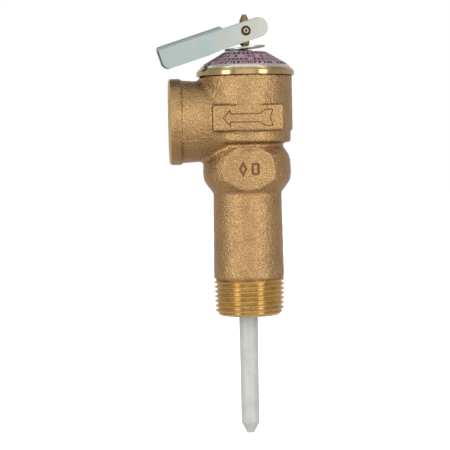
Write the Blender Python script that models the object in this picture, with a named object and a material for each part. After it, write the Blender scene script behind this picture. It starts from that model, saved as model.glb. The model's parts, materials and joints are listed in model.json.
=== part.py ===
"""Temperature and pressure relief valve with a test lever and a thermostat probe.

+Z runs up the valve's axis and the origin is at the centre of the inlet's end face. The side
outlet points to -X, the front wrench flat to -Y. Sizes are in millimetres, and each mesh is
scaled to metres as it is made.
"""

import math

import bmesh
import bpy
from mathutils import Matrix, Vector

for old in list(bpy.data.objects):
    bpy.data.objects.remove(old)

MM = 0.001

# Clearances between neighbours
GAP = 0.3

# Pipe threads: 3/4-14 NPT, on a taper of 1 in 16 on the diameter
THREAD_PITCH = 1.814
THREAD_DEPTH = 1.3
THREAD_TAPER = 1 / 32
MALE_CREST_R = 12.85
MALE_LENGTH = 15.0
FEMALE_ROOT_R = 13.3
FEMALE_LENGTH = 14.0

# Body casting
SHANK_R = 13.1
BORE_R = 9.3
SEAT_R = 8.2
SEAT_LIP_R = 9.8
SEAT_Z = 69.0
CHAMBER_FLOOR_Z = 67.0
CHAMBER_R = 14.3
BODY_R = 17.8
BODY_TOP_Z = 92.0
FLAT_Y = 13.7
FLAT_HALF_WIDTH = 12.0
FLAT_Z = (47.5, 64.3)
PAD_Y = 17.95
PAD_X = (-13.45, 12.65)
PAD_Z = (70.4, 79.9)
ARROW_DEPTH = 0.4
ARROW_LINE = 0.5

# Side outlet
OUTLET_Z = 74.3
OUTLET_REACH = 29.6
OUTLET_R = 15.9
OUTLET_BORE_R = 11.4
COLLAR_R = 16.4
COLLAR_LENGTH = 4.2

# Bonnet and the ring that holds it down
RING_R = 18.7
RING_LIP_R = 17.1
RING_Z = (91.3, 95.2)
BONNET_Z = BODY_TOP_Z + 1.1
BONNET_TOP_Z = 100.35
BONNET_HOLE_R = 3.3
CONE_SLOPE = 0.5815
CONE_FOOT_R = 16.1
CONE_FOOT_Z = 94.95
CONE_TOP_R = 7.55
LABEL_THICK = 0.46
LABEL_R = (7.9, 15.9)

# Moving stack on the seat
DISC_R = 10.6
DISC_Z = (SEAT_Z + GAP, 72.3)
HOLDER_R = 11.8
HOLDER_TOP_Z = 74.8
STUD_R = 2.9
STEM_R = 1.25
STEM_HOLE_R = 1.6

# Spring
SPRING_R = 8.5
SPRING_WIRE_R = 1.0
SPRING_Z = (76.1, 93.6)
SPRING_END_PITCH = 2.3
SPRING_END_TURNS = 0.9
SPRING_TURNS = 5.6

# Stem and lever
LEVER_YAW = math.radians(6.5)
LEVER_DROOP = math.radians(17.2)
PIVOT_Z = 108.4
HEX_FLATS = 3.3
HEX_Z = (103.0, 112.8)
HEX_TOP_Z = 115.3
HEX_TOP_R = 0.85
PIN_R = 0.95
PIN_BORE_R = 0.55
PIN_HEAD_R = 1.9
SHEET = 1.2
LEVER_WIDTH = 6.6
LEVER_BEND_R = 1.7
EAR_HALF_HEIGHT = 4.0
EAR_REACH = 9.0
HANDLE_REACH = 34.2
WEB_TOP = 5.4
WEB_START = 9.0

# Round plate under the lever, and the washer that it rocks on
PLATE_R = 7.73
PLATE_THICK = 0.75
PLATE_HOLE_R = 1.9
PLATE_Z = 101.95
PLATE_TILT = math.radians(5.6)
WASHER_Z = (100.65, 101.05)
WASHER_R = 2.8

# Thermostat, hung in the inlet a little off the valve's axis
PROBE_X = -0.5
SHEATH_R = 3.45
SHEATH_BORE_R = 2.75
SHEATH_Z = (-46.0, 30.0)
TUBE_R = 2.45
TUBE_BORE_R = 1.85
TUBE_Z = (-42.0, 44.0)
CHARGE_R = 1.55
CHARGE_Z = (-40.5, 20.0)
ROD_R = 1.2
ROD_Z = (20.5, 63.4)
SPIDER_Z = (31.0, 35.0)

FINE = 40
MEDIUM = 24
COARSE = 16


def material(name, colour, roughness, metallic):
    """A Principled BSDF material."""
    made = bpy.data.materials.new(name)
    made.use_nodes = True
    shader = made.node_tree.nodes["Principled BSDF"]
    shader.inputs["Base Color"].default_value = (*colour, 1)
    shader.inputs["Roughness"].default_value = roughness
    shader.inputs["Metallic"].default_value = metallic
    made.diffuse_color = (*colour, 1)
    return made


CAST_BRONZE = material("cast_bronze", (0.42, 0.26, 0.12), 0.5, 1.0)
BRASS = material("brass", (0.50, 0.36, 0.17), 0.3, 1.0)
STEEL = material("zinc_plated_steel", (0.60, 0.62, 0.60), 0.3, 1.0)
SPRING_STEEL = material("spring_steel", (0.45, 0.45, 0.46), 0.35, 1.0)
COPPER = material("copper", (0.55, 0.25, 0.13), 0.35, 1.0)
RUBBER = material("rubber", (0.02, 0.02, 0.02), 0.7, 0.0)
FIBRE = material("fibre", (0.05, 0.05, 0.05), 0.8, 0.0)
LABEL_FOIL = material("label_foil", (0.24, 0.14, 0.18), 0.4, 0.0)
COATING = material("probe_coating", (0.62, 0.63, 0.60), 0.4, 0.0)
WAX = material("wax", (0.70, 0.62, 0.35), 0.6, 0.0)


def solid(name, points, faces):
    """An object in millimetres, with its faces turned out, scaled to metres."""
    mesh = bpy.data.meshes.new(name)
    mesh.from_pydata([Vector(point) * MM for point in points], [], faces)
    work = bmesh.new()
    work.from_mesh(mesh)
    bmesh.ops.recalc_face_normals(work, faces=work.faces)
    work.to_mesh(mesh)
    work.free()
    made = bpy.data.objects.new(name, mesh)
    bpy.context.collection.objects.link(made)
    return made


def turned(name, profile, segments):
    """A closed outline of (radius, z) points revolved round Z."""
    points = []
    rings = []
    for radius, height in profile:
        if radius == 0:
            rings.append([len(points)] * segments)
            points.append((0, 0, height))
            continue
        rings.append([len(points) + i for i in range(segments)])
        for i in range(segments):
            angle = math.tau * i / segments
            points.append((radius * math.cos(angle), radius * math.sin(angle), height))
    faces = []
    for near, far in zip(rings, rings[1:] + rings[:1]):
        for i in range(segments):
            j = (i + 1) % segments
            corners = [near[i], near[j], far[j], far[i]]
            face = list(dict.fromkeys(corners))
            if len(face) > 2:
                faces.append(face)
    return solid(name, points, faces)


def extruded(name, outline, low, high):
    """A closed (x, z) outline pushed along Y from low to high."""
    count = len(outline)
    points = [(x, low, z) for x, z in outline] + [(x, high, z) for x, z in outline]
    faces = [list(range(count)), list(range(count, 2 * count))]
    for i in range(count):
        j = (i + 1) % count
        faces.append([i, j, count + j, count + i])
    return solid(name, points, faces)


def block(name, low, high):
    """A box between two corners."""
    outline = [(low[0], low[2]), (high[0], low[2]), (high[0], high[2]), (low[0], high[2])]
    return extruded(name, outline, low[1], high[1])


def screw(name, crest_r, taper, z_low, turns, segments):
    """A right-handed screw with V threads whose radius grows by taper for each millimetre up."""
    steps = turns * segments
    rows = []
    points = []
    for radius, shift in ((crest_r - THREAD_DEPTH, 0), (crest_r, THREAD_PITCH / 2)):
        rows.append([len(points) + i for i in range(steps + 1)])
        for i in range(steps + 1):
            angle = math.tau * i / segments
            rise = THREAD_PITCH * i / segments + shift
            here = radius + taper * (rise + z_low)
            points.append((here * math.cos(angle), here * math.sin(angle), z_low + rise))
    root, crest = rows
    faces = [[root[i], root[i + 1], crest[i + 1], crest[i]] for i in range(steps)]
    for i in range(steps - segments):
        faces.append([crest[i], crest[i + 1], root[i + 1 + segments], root[i + segments]])
    ends = (
        (root[: segments + 1] + crest[:1], z_low),
        (crest[steps - segments:] + root[steps:], z_low + THREAD_PITCH * turns),
    )
    for rim, height in ends:
        centre = len(points)
        points.append((0, 0, height))
        for a, b in zip(rim, rim[1:] + rim[:1]):
            faces.append([centre, a, b])
    return solid(name, points, faces)


def arc(centre, radius, start, end, steps):
    """Points along an arc between two angles in degrees."""
    points = []
    for i in range(steps + 1):
        angle = math.radians(start + (end - start) * i / steps)
        points.append((centre[0] + radius * math.cos(angle), centre[1] + radius * math.sin(angle)))
    return points


def combine(target, other, operation):
    """A Boolean that keeps its helper out of the render."""
    modifier = target.modifiers.new(other.name, "BOOLEAN")
    modifier.operation = operation
    modifier.solver = "EXACT"
    modifier.object = other
    other.hide_render = True
    other.display_type = "WIRE"


def along_outlet(helper):
    """Turns a helper made round Z so that it runs out along the outlet, +Z becoming -X."""
    helper.matrix_world = Matrix.Translation(Vector((0, 0, OUTLET_Z)) * MM) @ Matrix.Rotation(
        -math.pi / 2, 4, "Y"
    )


def finish(made, look, smooth=True):
    """Bakes the Booleans, sets the material and shades round faces smooth."""
    if made.modifiers:
        bpy.context.view_layer.update()
        graph = bpy.context.evaluated_depsgraph_get()
        baked = bpy.data.meshes.new_from_object(made.evaluated_get(graph))
        helpers = [modifier.object for modifier in made.modifiers]
        made.modifiers.clear()
        made.data = baked
        for helper in helpers:
            bpy.data.objects.remove(helper)
    made.data.name = made.name
    made.data.materials.clear()
    made.data.materials.append(look)
    if smooth:
        made.data.shade_smooth()
        made.data.set_sharp_from_angle(angle=math.radians(32))
    return made


def axis_empty(name, place, turn=0.0):
    """An empty on a joint's axis, turned about Z."""
    made = bpy.data.objects.new(name, None)
    made.empty_display_size = 5 * MM
    made.matrix_world = Matrix.Translation(Vector(place) * MM) @ Matrix.Rotation(turn, 4, "Z")
    bpy.context.collection.objects.link(made)
    return made


def hang(child, parent):
    """Parents without moving the child."""
    bpy.context.view_layer.update()
    child.parent = parent
    child.matrix_parent_inverse = parent.matrix_world.inverted()


def bulge_profile():
    """The casting's outside from the thread up: shank, barrel, neck, ledge and chamber wall."""
    return [
        (SHANK_R + 0.15, MALE_LENGTH),
        (SHANK_R, 24.0),
        (SHANK_R, 47.2),
        (14.3, 49.1),
        (15.5, 50.5),
        (16.4, 52.2),
        (16.8, 54.9),
        (16.6, 59.5),
        (16.0, 61.6),
        (14.9, 63.2),
        (14.1, 64.4),
        (14.1, 65.4),
        (15.2, 66.0),
        (17.0, 67.0),
        (17.0, 70.4),
        (BODY_R, 70.9),
        (BODY_R, RING_Z[0] - GAP),
        (RING_LIP_R + 0.5, RING_Z[0] - GAP),
        (RING_LIP_R + 0.5, BODY_TOP_Z),
        (0, BODY_TOP_Z),
        (0, MALE_LENGTH),
    ]


def male_thread():
    """The inlet's tapered thread, chamfered at its small end."""
    made = screw("inlet_screw", MALE_CREST_R, THREAD_TAPER, -2.4, 10, 40)
    envelope = turned(
        "inlet_envelope",
        [(0, 0), (11.3, 0), (MALE_CREST_R + 0.6, 1.9), (14.5, 3), (14.5, 15.6), (0, 15.6)],
        40,
    )
    combine(made, envelope, "INTERSECT")
    return finish(made, CAST_BRONZE)


def offset(outline, distance):
    """A closed outline moved sideways, to the left of its direction, with mitred corners."""
    moved = []
    for i, point in enumerate(outline):
        here = Vector(point)
        before = (here - Vector(outline[i - 1])).normalized()
        after = (Vector(outline[(i + 1) % len(outline)]) - here).normalized()
        sideways = Vector((-before.y - after.y, before.x + after.x))
        moved.append(tuple(here + sideways * (distance / (1 + before.dot(after)))))
    return moved


def arrow_cutters():
    """The outline of the flow arrow: a cutter, and the island that is kept inside it."""
    half = [(-7.2, -2.85), (-6.9, -1.5), (4.0, -1.55), (6.2, -3.0), (8.8, -3.0)]
    upper = [(x, -z) for x, z in reversed(half)]
    middle = (PAD_Z[0] + PAD_Z[1]) / 2
    centre_line = [(x, middle + z) for x, z in [(-9.6, 0), *half, (7.8, 0), *upper]]
    outer = offset(centre_line, -ARROW_LINE / 2)
    inner = offset(centre_line, ARROW_LINE / 2)
    return [
        extruded("arrow_cut", outer, -PAD_Y - 1, -PAD_Y + ARROW_DEPTH),
        extruded("arrow_keep", inner, -PAD_Y - 2, -PAD_Y + ARROW_DEPTH),
    ]


def casting():
    """The cast body, its threads, ports, pads and wrench flats."""
    body = turned("body", bulge_profile(), FINE)
    tube = turned(
        "outlet_tube",
        [
            (0, 8), (OUTLET_R, 8), (OUTLET_R, OUTLET_REACH - COLLAR_LENGTH - 0.4),
            (COLLAR_R, OUTLET_REACH - COLLAR_LENGTH), (COLLAR_R, OUTLET_REACH - 0.5),
            (COLLAR_R - 0.5, OUTLET_REACH), (0, OUTLET_REACH),
        ],
        FINE,
    )
    along_outlet(tube)
    combine(body, tube, "UNION")
    for side in (-1, 1):
        low, high = sorted((side * 5, side * PAD_Y))
        pad = block(f"pad_{side}", (PAD_X[0], low, PAD_Z[0]), (PAD_X[1], high, PAD_Z[1]))
        combine(body, pad, "UNION")
    for side in (-1, 1):
        low, high = sorted((side * FLAT_Y, side * 20))
        flat = block(
            f"flat_{side}", (-FLAT_HALF_WIDTH, low, FLAT_Z[0]), (FLAT_HALF_WIDTH, high, FLAT_Z[1])
        )
        combine(body, flat, "DIFFERENCE")
    combine(body, male_thread(), "UNION")
    bore = turned(
        "main_bore",
        [
            (0, -1), (BORE_R, -1), (BORE_R, 58), (SEAT_R, 60), (SEAT_R, SEAT_Z),
            (SEAT_LIP_R, SEAT_Z), (SEAT_LIP_R, CHAMBER_FLOOR_Z), (CHAMBER_R, CHAMBER_FLOOR_Z),
            (CHAMBER_R, BODY_TOP_Z + 1), (0, BODY_TOP_Z + 1),
        ],
        MEDIUM,
    )
    combine(body, bore, "DIFFERENCE")
    port = turned(
        "outlet_port",
        [
            (0, 12), (OUTLET_BORE_R, 12), (OUTLET_BORE_R, 28.0), (13.6, OUTLET_REACH),
            (13.6, OUTLET_REACH + 1), (0, OUTLET_REACH + 1),
        ],
        MEDIUM,
    )
    along_outlet(port)
    combine(body, port, "DIFFERENCE")
    tap_low = OUTLET_REACH - FEMALE_LENGTH
    tap = screw(
        "outlet_tap",
        FEMALE_ROOT_R - THREAD_TAPER * OUTLET_REACH,
        THREAD_TAPER,
        tap_low,
        9,
        MEDIUM,
    )
    along_outlet(tap)
    combine(body, tap, "DIFFERENCE")
    cut, keep = arrow_cutters()
    combine(cut, keep, "DIFFERENCE")
    combine(body, finish(cut, CAST_BRONZE), "DIFFERENCE")
    return finish(body, CAST_BRONZE)


def retaining_ring():
    """The machined ring whose lip holds the bonnet down."""
    bore_r = BODY_R + 0.2
    low, high = RING_Z
    profile = [
        (bore_r, low), (RING_R, low), (RING_R, high - 1.7), (RING_LIP_R, high),
        (RING_LIP_R, high - 1), (bore_r, high - 1),
    ]
    return finish(turned("retaining_ring", profile, FINE), BRASS)


def cone_z(radius):
    """Height of the bonnet's cone at a radius."""
    return CONE_FOOT_Z + (CONE_FOOT_R - radius) * CONE_SLOPE


def bonnet():
    """The pressed steel cover over the spring: flange, rim, cone and flat top."""
    wall = 1.39
    profile = [
        (RING_LIP_R + 0.5, BONNET_Z),
        (RING_LIP_R + 0.5, BONNET_Z + 0.8),
        (RING_LIP_R - GAP, BONNET_Z + 0.8),
        (RING_LIP_R - GAP, 95.1),
        (16.55, 95.4),
        (16.25, 95.4),
        (CONE_FOOT_R, CONE_FOOT_Z),
        (CONE_TOP_R, cone_z(CONE_TOP_R)),
        (CONE_TOP_R - 0.1, BONNET_TOP_Z - 0.2),
        (CONE_TOP_R - 0.35, BONNET_TOP_Z),
        (BONNET_HOLE_R, BONNET_TOP_Z),
        (BONNET_HOLE_R, 98.9),
        (7.0, cone_z(7.0) - wall),
        (15.3, cone_z(15.3) - wall),
        (15.3, BONNET_Z),
    ]
    return finish(turned("bonnet", profile, FINE), STEEL)


def name_plate():
    """The thin printed cone laid in the bonnet's recess."""
    inner, outer = LABEL_R
    under = 0.35
    top = under + LABEL_THICK
    profile = [
        (outer, cone_z(outer) + under),
        (outer, cone_z(outer) + top),
        (inner, cone_z(inner) + top),
        (inner, cone_z(inner) + under),
    ]
    return finish(turned("name_plate", profile, FINE), LABEL_FOIL)


def rings_in_the_bonnet():
    """Gasket, stem bush, stem seal and upper spring seat."""
    gasket_z = BODY_TOP_Z + GAP
    gasket = [(14.6, gasket_z), (17.6, gasket_z), (17.6, gasket_z + 0.5), (14.6, gasket_z + 0.5)]
    bush = [
        (STEM_HOLE_R, 97.6), (4.4, 97.6), (4.4, 98.6), (3.0, 98.6),
        (3.0, BONNET_TOP_Z), (STEM_HOLE_R, BONNET_TOP_Z),
    ]
    seal = arc((2.2, 96.8), 0.5, 0, 315, 7)
    seat = [
        (1.9, 95.0), (10.0, 95.0), (10.8, 95.8), (10.8, 96.3), (10.0, 96.3), (9.6, 95.8), (1.9, 95.8),
    ]
    finish(turned("bonnet_gasket", gasket, MEDIUM), RUBBER)
    finish(turned("stem_bush", bush, COARSE), BRASS)
    finish(turned("stem_seal", seal, COARSE), RUBBER)
    finish(turned("upper_spring_seat", seat, MEDIUM), STEEL)


def main_spring():
    """A round-wire compression spring with a nearly closed coil at each end."""
    low, high = SPRING_Z
    middle_turns = SPRING_TURNS - 2 * SPRING_END_TURNS
    end_rise = SPRING_END_PITCH * SPRING_END_TURNS
    middle_pitch = (high - low - 2 * end_rise) / middle_turns
    sides = 6
    steps = round(SPRING_TURNS * COARSE)
    points = []
    for i in range(steps + 1):
        turn = SPRING_TURNS * i / steps
        middle = min(max(turn - SPRING_END_TURNS, 0), middle_turns)
        height = low + middle * middle_pitch + (turn - middle) * SPRING_END_PITCH
        angle = math.tau * turn
        for j in range(sides):
            around = math.tau * j / sides
            radius = SPRING_R + SPRING_WIRE_R * math.cos(around)
            rise = height + SPRING_WIRE_R * math.sin(around)
            points.append((radius * math.cos(angle), radius * math.sin(angle), rise))
    faces = [list(range(sides)), list(range(steps * sides, (steps + 1) * sides))]
    for i in range(steps):
        for j in range(sides):
            k = (j + 1) % sides
            near, far = i * sides, (i + 1) * sides
            faces.append([near + j, near + k, far + k, far + j])
    return finish(solid("main_spring", points, faces), SPRING_STEEL)


def disc_stack():
    """What lifts off the seat: holder, rubber disc and the stud that keeps it in."""
    low, high = DISC_Z
    hole_r = STUD_R + GAP
    holder = [
        (HOLDER_R, low + 0.7), (HOLDER_R, 76.2), (10.9, 76.2), (10.7, HOLDER_TOP_Z),
        (5.4, HOLDER_TOP_Z), (5.0, 78.0), (STEM_HOLE_R, 78.0), (STEM_HOLE_R, 76.3),
        (hole_r, 76.3), (hole_r, high + GAP), (DISC_R + GAP, high + GAP), (DISC_R + GAP, low + 0.7),
    ]
    disc = [(hole_r, low), (DISC_R, low), (DISC_R, high), (hole_r, high)]
    stud = [
        (STEM_HOLE_R, 66.4), (5.9, 66.4), (6.5, 67.0), (6.5, low - GAP), (STUD_R, low - GAP),
        (STUD_R, 76.0), (STEM_HOLE_R, 76.0),
    ]
    finish(turned("disc_holder", holder, MEDIUM), BRASS)
    finish(turned("seat_disc", disc, MEDIUM), RUBBER)
    finish(turned("disc_retainer", stud, MEDIUM), BRASS)


def hexagon(name, levels):
    """A six-sided solid through (corner radius, z) levels, with flats to the front and back."""
    return turned(name, [(0, levels[0][1]), *levels, (0, levels[-1][1])], 6)


def stem():
    """The rod with a riveted foot, its hexagonal head and the cross hole for the lever's pin."""
    rod = [
        (0, 65.2), (2.2, 65.2), (2.6, 65.6), (2.6, 66.1), (STEM_R, 66.1),
        (STEM_R, HEX_Z[0] + 0.5), (0, HEX_Z[0] + 0.5),
    ]
    made = turned("stem", rod, COARSE)
    corner_r = HEX_FLATS / math.sqrt(3)
    head = hexagon(
        "stem_head",
        [
            (corner_r - 0.3, HEX_Z[0]), (corner_r, HEX_Z[0] + 0.4), (corner_r, HEX_Z[1]),
            (HEX_TOP_R, HEX_TOP_Z),
        ],
    )
    combine(made, head, "UNION")
    hole = turned("pin_hole", [(0, -4), (PIN_R + 0.25, -4), (PIN_R + 0.25, 4), (0, 4)], COARSE)
    hole.matrix_world = Matrix.Translation((0, 0, PIVOT_Z * MM)) @ Matrix.Rotation(
        math.pi / 2, 4, "X"
    )
    combine(made, hole, "DIFFERENCE")
    finish(made, BRASS)
    made.rotation_euler.z = LEVER_YAW
    clip = [(STEM_HOLE_R, 78.3), (3.0, 78.3), (3.0, 79.1), (STEM_HOLE_R, 79.1)]
    ring = finish(turned("stem_clip", clip, COARSE), STEEL)
    return made, ring


def lever_outline():
    """The side view of the lever about its pin, handle towards -X."""
    low, top = -EAR_HALF_HEIGHT, EAR_HALF_HEIGHT
    ear_r = 3.9
    ear_x = EAR_REACH - ear_r
    end = -HANDLE_REACH
    corner_r = 2.8
    return [
        *arc((ear_x, low + ear_r), ear_r, -90, 0, 5),
        *arc((ear_x, top - ear_r), ear_r, 0, 90, 5),
        (1.4 - WEB_START, top),
        (-WEB_START, WEB_TOP),
        *arc((end + 0.6, WEB_TOP - 0.6), 0.6, 90, 180, 2),
        *arc((end + corner_r, low + corner_r), corner_r, 180, 270, 4),
    ]


def lever_section():
    """The folded sheet seen along the handle: a channel open below, as (y, z) points."""
    half = LEVER_WIDTH / 2
    inside = half - SHEET
    foot = -EAR_HALF_HEIGHT - 1
    bend_z = WEB_TOP - LEVER_BEND_R
    inner_r = LEVER_BEND_R - SHEET
    return [
        (half, foot),
        *arc((half - LEVER_BEND_R, bend_z), LEVER_BEND_R, 0, 90, 3),
        *arc((LEVER_BEND_R - half, bend_z), LEVER_BEND_R, 90, 180, 3),
        (-half, foot),
        (-inside, foot),
        *arc((inner_r - inside, bend_z), inner_r, 180, 90, 2),
        *arc((inside - inner_r, bend_z), inner_r, 90, 0, 2),
        (inside, foot),
    ]


def lever():
    """The bent sheet lever with its two ears, and the hollow pin flared over them."""
    reach = HANDLE_REACH + 3
    made = extruded("lever", lever_section(), -reach, reach)
    made.data.transform(Matrix.Rotation(math.pi / 2, 4, "Z"))
    side = extruded("lever_side", lever_outline(), -LEVER_WIDTH, LEVER_WIDTH)
    combine(made, side, "INTERSECT")
    hole = turned("ear_hole", [(0, -5), (PIN_R + 0.25, -5), (PIN_R + 0.25, 5), (0, 5)], COARSE)
    hole.rotation_euler.x = math.pi / 2
    combine(made, hole, "DIFFERENCE")
    finish(made, STEEL)
    head = LEVER_WIDTH / 2 + 0.2
    profile = [
        (PIN_BORE_R, -head - 0.4), (PIN_HEAD_R - 0.3, -head - 0.4), (PIN_HEAD_R, -head - 0.2),
        (PIN_HEAD_R, -head), (PIN_R, -head), (PIN_R, head), (PIN_HEAD_R, head),
        (PIN_HEAD_R, head + 0.2), (PIN_HEAD_R - 0.3, head + 0.4), (PIN_BORE_R, head + 0.4),
    ]
    pin = turned("lever_pin", profile, COARSE)
    pin.data.transform(Matrix.Rotation(math.pi / 2, 4, "X"))
    finish(pin, BRASS)
    place = (
        Matrix.Translation((0, 0, PIVOT_Z * MM))
        @ Matrix.Rotation(LEVER_YAW, 4, "Z")
        @ Matrix.Rotation(-LEVER_DROOP, 4, "Y")
    )
    for piece in (made, pin):
        piece.matrix_world = place
    return made, pin


def rocking_plate():
    """The loose round plate that the lever presses on, tipped by the drooping handle."""
    half = PLATE_THICK / 2
    profile = [
        (PLATE_HOLE_R, -half), (PLATE_R - 0.15, -half), (PLATE_R, 0.15 - half),
        (PLATE_R, half - 0.15), (PLATE_R - 0.15, half), (PLATE_HOLE_R, half),
    ]
    made = finish(turned("lever_plate", profile, FINE), STEEL)
    made.matrix_world = (
        Matrix.Translation((0, 0, PLATE_Z * MM))
        @ Matrix.Rotation(LEVER_YAW, 4, "Z")
        @ Matrix.Rotation(-PLATE_TILT, 4, "Y")
    )
    return made


def thrust_washer():
    """The small washer under the plate that the lever and stem swivel on."""
    low, high = WASHER_Z
    profile = [(1.7, low), (WASHER_R, low), (WASHER_R, high), (1.7, high)]
    return finish(turned("thrust_washer", profile, MEDIUM), FIBRE)


def thermostat():
    """The probe, its copper tube and charge, the rod it pushes and what holds it in the inlet."""
    low, high = SHEATH_Z
    sheath = [
        (0, low), (0.75, low + 0.05), (1.2, low + 0.35), (1.6, low + 1.0), (SHEATH_R, low + 4),
        (SHEATH_R, -20), (SHEATH_R + 0.15, 0), (SHEATH_R + 0.15, high), (SHEATH_BORE_R, high),
        (SHEATH_BORE_R, TUBE_Z[0] - 0.1), (1.6, TUBE_Z[0] - GAP), (0, TUBE_Z[0] - GAP),
    ]
    tube = [
        (0, TUBE_Z[0]), (1.3, TUBE_Z[0]), (TUBE_R, TUBE_Z[0] + 1.2), (TUBE_R, TUBE_Z[1]),
        (TUBE_BORE_R, TUBE_Z[1]), (TUBE_BORE_R, TUBE_Z[0] + 1.2), (0, TUBE_Z[0] + 1.2),
    ]
    charge = [(0, CHARGE_Z[0]), (CHARGE_R, CHARGE_Z[0]), (CHARGE_R, CHARGE_Z[1]), (0, CHARGE_Z[1])]
    head = [
        (SHEATH_BORE_R, 43.4), (3.6, 43.4), (3.6, 50.8), (2.7, 52.0), (1.5, 52.0), (1.5, 44.3),
        (SHEATH_BORE_R, 44.3),
    ]
    rod = [
        (0, ROD_Z[0]), (ROD_R, ROD_Z[0]), (ROD_R, 59.4), (2.3, 60.0), (2.3, 62.6), (1.5, ROD_Z[1]),
        (0, ROD_Z[1]),
    ]
    pieces = [
        finish(turned("probe_sheath", sheath, MEDIUM), COATING),
        finish(turned("probe_tube", tube, COARSE), COPPER),
        finish(turned("probe_charge", charge, COARSE), WAX),
        finish(turned("thermostat_head", head, COARSE), BRASS),
        finish(turned("push_rod", rod, COARSE), BRASS),
        probe_clip(),
    ]
    for piece in pieces:
        piece.location.x = PROBE_X * MM


def probe_clip():
    """The open clip that holds the tube on the spider."""
    inner, outer = SHEATH_BORE_R, 3.9
    low = SPIDER_Z[1] + GAP
    outline = arc((0, 0), outer, 35, 325, 14) + arc((0, 0), inner, 325, 35, 14)
    made = extruded("thermostat_clip", outline, low, low + 0.8)
    made.data.transform(Matrix.Rotation(math.pi / 2, 4, "X"))
    return finish(made, STEEL)


def guide_spider():
    """The three-armed spider that centres the thermostat in the inlet bore."""
    low, high = SPIDER_Z
    outer = BORE_R - GAP
    rim = [(outer - 1.3, low), (outer, low), (outer, high), (outer - 1.3, high)]
    made = turned("guide_spider", rim, MEDIUM)
    hub = turned("spider_hub", [(0, low), (4.6, low), (4.6, high), (0, high)], COARSE)
    hub.location.x = PROBE_X * MM
    combine(made, hub, "UNION")
    for i in range(3):
        arm = block(f"spider_arm_{i}", (3.0, -0.9, low + 0.4), (outer - 0.7, 0.9, high - 0.4))
        arm.rotation_euler.z = math.radians(60 + 120 * i)
        combine(made, arm, "UNION")
    bore = turned(
        "spider_bore",
        [(0, low - 1), (SHEATH_BORE_R, low - 1), (SHEATH_BORE_R, high + 1), (0, high + 1)],
        COARSE,
    )
    bore.location.x = PROBE_X * MM
    combine(made, bore, "DIFFERENCE")
    return finish(made, BRASS)


def main():
    """Makes every piece and hangs the moving ones on their joints."""
    casting()
    retaining_ring()
    bonnet()
    name_plate()
    rings_in_the_bonnet()
    spring = main_spring()
    guide_spider()
    thermostat()
    swivel = axis_empty("swivel_axis", (0, 0, WASHER_Z[1]))
    lift = axis_empty("lift_axis", (0, 0, DISC_Z[0]))
    pivot = axis_empty("lever_axis", (0, 0, PIVOT_Z), LEVER_YAW)
    rocker = axis_empty("plate_axis", (0, 0, PLATE_Z), LEVER_YAW)
    travel = axis_empty("rod_axis", (PROBE_X, 0, ROD_Z[1]))
    disc_stack()
    stem_pieces = stem()
    lever_pieces = lever()
    hang(thrust_washer(), swivel)
    hang(lift, swivel)
    hang(rocker, swivel)
    hang(pivot, lift)
    hang(rocking_plate(), rocker)
    for name in ("disc_holder", "seat_disc", "disc_retainer"):
        hang(bpy.data.objects[name], lift)
    for piece in (*stem_pieces, spring):
        hang(piece, lift)
    for piece in lever_pieces:
        hang(piece, pivot)
    hang(bpy.data.objects["push_rod"], travel)


main()
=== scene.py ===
"""Looks for the temperature and pressure relief valve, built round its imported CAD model.

Shapes are made in millimetres and scaled to metres when they are finished. +Z runs up the
valve's axis, the outlet points to -X, and the camera stands on the -Y side.
"""

import json
import math

import bmesh
import bpy
from mathutils import Matrix, Vector, noise


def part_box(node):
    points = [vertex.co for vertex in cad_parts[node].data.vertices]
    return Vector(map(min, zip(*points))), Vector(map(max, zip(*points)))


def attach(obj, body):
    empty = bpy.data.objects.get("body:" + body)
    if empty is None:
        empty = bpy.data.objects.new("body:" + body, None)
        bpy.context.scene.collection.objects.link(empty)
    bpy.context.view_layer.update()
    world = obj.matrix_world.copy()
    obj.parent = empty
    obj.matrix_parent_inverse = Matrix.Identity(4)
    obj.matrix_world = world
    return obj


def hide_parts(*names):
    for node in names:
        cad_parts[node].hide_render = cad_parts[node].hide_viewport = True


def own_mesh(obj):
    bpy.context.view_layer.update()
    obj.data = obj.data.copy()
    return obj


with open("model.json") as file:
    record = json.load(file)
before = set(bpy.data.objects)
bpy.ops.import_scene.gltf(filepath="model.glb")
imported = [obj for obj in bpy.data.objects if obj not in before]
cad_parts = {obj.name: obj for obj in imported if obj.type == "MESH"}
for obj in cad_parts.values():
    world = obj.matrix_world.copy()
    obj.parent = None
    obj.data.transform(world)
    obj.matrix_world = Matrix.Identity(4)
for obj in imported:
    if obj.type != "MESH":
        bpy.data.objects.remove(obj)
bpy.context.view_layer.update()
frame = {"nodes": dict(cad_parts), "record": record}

MM = 0.001
SLOTS = 3


def span(node):
    """A CAD node's lowest and highest corner, in millimetres."""
    low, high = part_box(node)
    return low / MM, high / MM


def joint(name):
    """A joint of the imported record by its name."""
    return next(j for j in frame["record"]["behaviour"]["joints"] if j["name"] == name)


# Places read from the frame
BODY_LOW = span("body")[0]
RING_LOW, RING_HIGH = span("retaining_ring")
BONNET_LOW, BONNET_HIGH = span("bonnet")
LABEL_LOW = span("name_plate")[0]
SHEATH_LOW, SHEATH_HIGH = span("probe_sheath")
STEM_LOW, STEM_HIGH = span("stem")
WASHER_LOW, WASHER_HIGH = span("thrust_washer")
PLATE_LOW, PLATE_HIGH = span("lever_plate")
SPRING_LOW, SPRING_HIGH = span("main_spring")
HOLDER_LOW, HOLDER_HIGH = span("disc_holder")
DISC_LOW, DISC_HIGH = span("seat_disc")
STUD_LOW, STUD_HIGH = span("disc_retainer")
PIVOT = Vector(joint("lever_turn")["pos_m"]) / MM
LEVER_AXIS = Vector(joint("lever_turn")["axis"])
LEVER_YAW = math.atan2(-LEVER_AXIS.x, LEVER_AXIS.y)
RING_R = RING_HIGH.x
OUTLET_REACH = -BODY_LOW.x
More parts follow.
